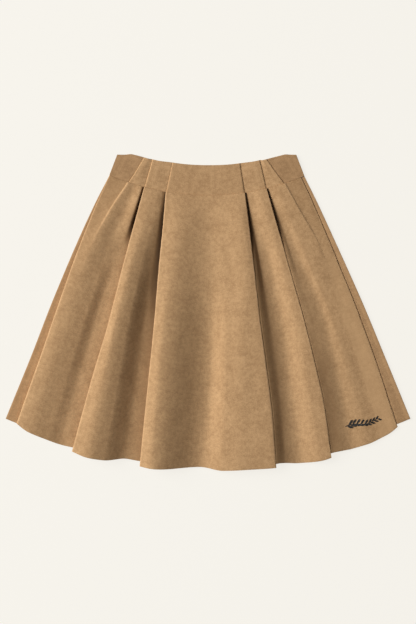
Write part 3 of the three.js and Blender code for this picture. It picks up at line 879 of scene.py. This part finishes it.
BAND = {
    "hip_left": BandLine(-23.75, -23.5, 415),
    "hip_middle_left": BandLine(-22, -22.1, 409.9),
    "corner_left": BandLine(-20.1, -20.6, 404),
    "outer_left": BandLine(-17, -18.75, 402.6),
    "inner_left": BandLine(-14.76, -14.86, 401.9),
    "centre_left": BandLine(-9.45, -9.75, 399.9),
    "centre_front": BandLine(0, 0, 399.4),
    "centre_right": BandLine(8.52, 8.57, 400.2),
    "inner_right": BandLine(13.8, 13.69, 401.6),
    "outer_right": BandLine(15.55, 18.07, 403),
    "corner_right": BandLine(20.3, 20.6, 405),
    "hip_middle_right": BandLine(21.8, 21.8, 409.3),
    "hip_right": BandLine(23.15, 22.95, 413.4),
}


@dataclass
class Waistband:
    """The front waistband in seven lapped pieces."""

    across_steps: int = 44
    centre_steps: int = 110
    down_steps: int = 26

    def lapped(self, name: str, start: BandLine, end: BandLine) -> BandPiece:
        """A piece that starts under one line and ends over the next."""
        lines = [
            start.moved(-BAND_LAP),
            start.moved(LOW_UNTIL),
            start.moved(RISEN_AT).on(UNDER_LEVEL + BUTTED_RISE),
            end.moved(-FLAT_EDGE).on(TOP_LEVEL),
            end.on(TOP_LEVEL),
        ]
        return BandPiece(name, SUEDE, self.across_steps, self.down_steps, lines)

    def hip(self, name: str, start: BandLine, side: str) -> BandPiece:
        """A hip piece with its corner and side edge."""
        lines = [start.moved(-BAND_LAP), start.moved(LOW_UNTIL), start.moved(RISEN_AT).on(HIP_LEVEL)]
        lines += [BAND[f"{line}_{side}"].on(HIP_LEVEL) for line in ("corner", "hip_middle", "hip")]
        return BandPiece(name, HIP_SUEDE, self.across_steps, self.down_steps, lines)

    def pieces(self) -> list[BandPiece]:
        """The seven pieces."""
        left, right = BAND["centre_left"], BAND["centre_right"]
        centre = [
            left.on(TOP_LEVEL),
            left.moved(-FLAT_EDGE).on(TOP_LEVEL),
            BAND["centre_front"].on(UNDER_LEVEL + 1),
            right.moved(-FLAT_EDGE).on(TOP_LEVEL),
            right.on(TOP_LEVEL),
        ]
        return [
            BandPiece(
                "front_waistband_centre", SUEDE, self.centre_steps, self.down_steps, centre, nap=-0.12
            ),
            self.lapped("front_waistband_inner_left", left, BAND["inner_left"]),
            self.lapped("front_waistband_inner_right", right, BAND["inner_right"]),
            self.lapped("front_waistband_outer_left", BAND["inner_left"], BAND["outer_left"]),
            self.lapped("front_waistband_outer_right", BAND["inner_right"], BAND["outer_right"]),
            self.hip("front_waistband_hip_left", BAND["outer_left"], "left"),
            self.hip("front_waistband_hip_right", BAND["outer_right"], "right"),
        ]

    def build(self) -> None:
        """Makes every piece."""
        for piece in self.pieces():
            piece.build()


@dataclass
class BackSkirtHalf(ClothPiece):
    """Half of the back skirt, flat on the table."""

    side: Side = Side.LEFT
    hem: float = 943.0
    edge_angle: Row = (23.5, 23.9, 24, 23.83, 23.45, 23.28)
    curl: Row = (0, 0.5, 0.7, 0.7, 0.7, 0.7)
    beside: Line = OUTER_LEFT_LINES[-1]
    rise: float = 0.3

    def rests_on(self) -> list[str]:
        """The back lies on the table."""
        return ["floor"]

    def looseness(self, t: float) -> float:
        """The back is pressed flat by what lies on it."""
        return 0.0

    def section(self, t: float) -> Section:
        """The back's line at a share of the way down."""
        radius = YOKE_SEAM_RADIUS + CLOTH_GAP / 2 + t * (self.hem - YOKE_SEAM_RADIUS)
        end = math.radians(float(SmoothCurve(STATIONS, self.edge_angle)(t)))
        across = self.side.value * np.linspace(CLOTH_GAP / 2, end * radius, BACK_POINTS)
        inward = end * radius - np.abs(across)
        near = np.clip(1 - inward / CURL_WIDTH, 0, 1)
        height = BACK_LEVEL + float(SmoothCurve(STATIONS, self.curl)(t)) * near * (2 - near)
        section = Section(across, height, np.full(BACK_POINTS, radius))
        # painted shade on the back, darker inward from its outer edge towards the front
        section.nap = np.clip(inward / EDGE_SHADE_WIDTH, 0, 1) * -EDGE_SHADE
        front = math.radians(abs(self.beside.at(t)[0])) * radius
        beyond = np.clip((np.abs(across) - front - RISE_START) / RISE_LENGTH, 0, 1)
        section.height = section.height + self.rise * eased(beyond)
        return section


@dataclass
class BackBandHalf(BandPiece):
    """Half of the back waistband, just inside the front one."""

    def rests_on(self) -> list[str]:
        """The back lies on the table."""
        return ["floor"]

    def looseness(self, t: float) -> float:
        """The back is pressed flat by what lies on it."""
        return 0.0


@dataclass
class Back:
    """The plain back: two skirt halves and two waistband halves."""

    waist_radius: float = 409.0

    def band_half(self, name: str, side: BandLine) -> BackBandHalf:
        """One half of the back waistband."""
        turn = math.copysign(1, side.seam)
        start = turn * math.degrees(CLOTH_GAP / 2 / self.waist_radius)
        shares = (0, 0.25, 0.5, 0.8, 1)
        lines = []
        for share in shares:
            radius = self.waist_radius if share < 1 else side.radius + 2
            waist = start + (side.waist - start) * share
            seam = start + (side.seam - start) * share
            lines.append(BandLine(waist, seam, radius, BACK_LEVEL))
        return BackBandHalf(name, BACK_SUEDE, 60, 16, lines)

    def build(self) -> None:
        """Makes the back's pieces."""
        BackSkirtHalf("back_skirt_left", BACK_SUEDE, 100, 80, Side.LEFT, nap=0.25).build()
        BackSkirtHalf(
            "back_skirt_right",
            BACK_SUEDE,
            300,
            80,
            Side.RIGHT,
            edge_angle=(22.95, 23.3, 23.45, 23.58, 23.43, 23.28),
            beside=OUTER_RIGHT_LINES[-1],
            rise=0.9,
            nap=0.2,
        ).build()
        self.band_half("back_waistband_left", BAND["hip_left"]).build()
        self.band_half("back_waistband_right", BAND["hip_right"]).build()


@dataclass(frozen=True)
class Sprig:
    """A small leafy sprig in dark satin stitch near the hem, curving with it.

    It is worked flat, in millimetres along and up, and then laid on the panel.
    """

    panel: FrontPanel
    angle: float = 18.0
    radius: float = 919.6
    length: float = 64.0
    wave: float = 2.0
    fall: float = 0.11
    leaves: int = 17
    leaf: float = 12.5
    leans: tuple[float, float] = (-31.0, 36.0)
    taper: float = 0.38
    lift: float = CLOTH / 2 + 0.2

    def stem_point(self, share: float) -> Vector:
        """A point on the stem's middle line."""
        along = (share - 0.5) * self.length
        return Vector((along, self.wave * math.sin(share * math.pi * 2.5) - self.fall * along, 0.0))

    @staticmethod
    def stitch(bm: bmesh.types.BMesh, start: Vector, end: Vector, width: float) -> None:
        """Lays one rounded stitch from point to point."""
        run = end - start
        size = Matrix.Diagonal((run.length / 2 + width * 0.3, width / 2, 0.3, 1.0))
        turned = Matrix.Rotation(math.atan2(run.y, run.x), 4, "Z")
        matrix = Matrix.Translation((start + end) / 2) @ turned @ size
        bmesh.ops.create_uvsphere(bm, u_segments=8, v_segments=6, radius=1.0, matrix=matrix)

    def work_stem(self, bm: bmesh.types.BMesh) -> None:
        """Works the stem in overlapping stem stitches."""
        count = 30
        for k in range(count):
            share = k / count
            width = 1.5 * (1 - 0.5 * share)
            self.stitch(bm, self.stem_point(share), self.stem_point(share + 1.6 / count), width)

    def work_leaf(self, bm: bmesh.types.BMesh, base: Vector, lean: float, length: float) -> None:
        """Works a leaf in satin stitches that slant out from its middle."""
        turn = Matrix.Rotation(math.radians(lean), 4, "Z")
        count = max(6, round(length / 0.95))
        for k in range(count):
            share = (k + 0.5) / count
            half = length * 0.19 * math.sin(math.pi * share) ** 0.7
            for side in Side:
                inner = Vector((share * length - half * 0.4, 0.0, 0.0))
                outer = Vector((share * length + half * 0.5, side.value * half, 0.0))
                self.stitch(bm, base + turn @ inner, base + turn @ outer, 0.95)

    def ground(self) -> Callable[[Vector], float]:
        """The height of the panel under a point of the flat sprig, from a patch of heights."""
        alongs = np.linspace(-0.6, 0.6, 15) * self.length
        ups = np.linspace(-12.0, 12.0, 7)
        middle = math.radians(self.angle)
        places = [[(self.radius - up, middle + x / self.radius) for x in alongs] for up in ups]
        columns = np.array([[self.panel.height_at(*place) for place in row] for row in places])

        def height(point: Vector) -> float:
            row = [np.interp(point.x, alongs, heights) for heights in columns]
            return float(np.interp(point.y, ups, row))

        return height

    def laid(self, point: Vector, height: float) -> Vector:
        """The place on the panel of a point of the flat sprig."""
        angle = math.radians(self.angle) + point.x / self.radius
        return FLARE.place(self.radius - point.y, angle, height + self.lift + point.z)

    def build(self) -> None:
        """Works the sprig and lays it on the panel."""
        bm = bmesh.new()
        self.work_stem(bm)
        for k in range(self.leaves):
            share = 0.05 + 0.9 * k / (self.leaves - 1)
            length = self.leaf * (1 - self.taper * share)
            self.work_leaf(bm, self.stem_point(share), self.leans[k % 2], length)
        ground = self.ground()
        for vert in bm.verts:
            vert.co = self.laid(vert.co, ground(vert.co))
        for face in bm.faces:
            face.smooth = True
        mesh = bpy.data.meshes.new("embroidered_sprig_stitches")
        bm.to_mesh(mesh)
        bm.free()
        sprig = bpy.data.objects.new("embroidered_sprig_stitches", mesh)
        bpy.context.scene.collection.objects.link(sprig)
        mesh.materials.append(EmbroideryThread().build())
        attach(sprig, BODY)
        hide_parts("embroidered_sprig")
        log.info("embroidered_sprig: %d stitched faces", len(mesh.polygons))


# --------------------------------------------------------------------------------------------
# The studio
# --------------------------------------------------------------------------------------------


@dataclass
class Studio:
    """The table, the light and the camera straight above the skirt."""

    view_width: float = 0.7671
    lens: float = 100.0
    key_power: float = 760.0

    def build(self) -> None:
        """Sets up the studio."""
        self.floor()
        self.world()
        self.colours()
        self.area("key", (-5.75, 1.4, 4.0), 5.0, self.key_power)
        self.camera()

    @staticmethod
    def colours() -> None:
        """Shows colours as they are, with no film curve."""
        bpy.context.scene.view_settings.view_transform = "Standard"
        bpy.context.scene.view_settings.look = "None"

    def floor(self) -> None:
        """Lays a plain pale surface under the skirt."""
        bm = bmesh.new()
        bmesh.ops.create_grid(bm, x_segments=1, y_segments=1, size=6.0)
        bmesh.ops.translate(bm, verts=bm.verts, vec=(0, 0, -0.0004))
        mesh = bpy.data.meshes.new("floor")
        bm.to_mesh(mesh)
        bm.free()
        floor = bpy.data.objects.new("floor", mesh)
        bpy.context.scene.collection.objects.link(floor)
        mesh.materials.append(PaleFloor().build())

    def world(self) -> None:
        """Fills the shadows with dim, even light."""
        world = bpy.data.worlds.new("studio")
        bpy.context.scene.world = world
        world.use_nodes = True
        background = world.node_tree.nodes["Background"]
        background.inputs["Color"].default_value = (1.0, 0.985, 0.96, 1.0)
        background.inputs["Strength"].default_value = 0.11

    def area(self, name: str, place: tuple[float, float, float], size: float, power: float) -> None:
        """Hangs a soft square light that looks at the skirt."""
        lamp = bpy.data.lights.new(name, "AREA")
        lamp.size = size
        lamp.energy = power
        lamp.color = (1.0, 0.985, 0.96)
        light = bpy.data.objects.new(name, lamp)
        light.location = place
        light.rotation_euler = (-Vector(place)).to_track_quat("-Z", "Y").to_euler()
        bpy.context.scene.collection.objects.link(light)

    def camera(self) -> None:
        """Looks straight down, with the waist at the top of the picture."""
        data = bpy.data.cameras.new("camera")
        data.lens = self.lens
        data.sensor_fit = "HORIZONTAL"
        data.sensor_width = 36.0
        camera = bpy.data.objects.new("camera", data)
        distance = self.view_width * self.lens / data.sensor_width
        camera.location = (0.0, 0.0, distance)
        bpy.context.scene.collection.objects.link(camera)
        bpy.context.scene.camera = camera


def flare_under(pieces: Sequence[BandPiece]) -> Flare:
    """Places the flare so that the pieces of the waistband reach the top of the model's box.

    Args:
        pieces: the front waistband's pieces.

    Returns:
        The flare.
    """
    sections = [piece.section(0) for piece in pieces]
    reaches = [(section.radius * np.cos(section.across / section.radius)).min() for section in sections]
    return Flare(CAD_BOX[1].y / MM + float(min(reaches)))


FLARE = flare_under(Waistband().pieces())
MATERIALS = {finish.name: finish.build() for finish in (SUEDE, HIP_SUEDE, BACK_SUEDE)}


def main() -> None:
    """Builds the skirt and its studio."""
    logging.basicConfig(level=logging.INFO, format="%(name)s: %(message)s")
    Studio().build()
    Back().build()
    FrontSkirt().build()
    Waistband().build()
    Sprig(FrontSkirt().panels()[-1]).build()


if __name__ == "__main__":
    main()
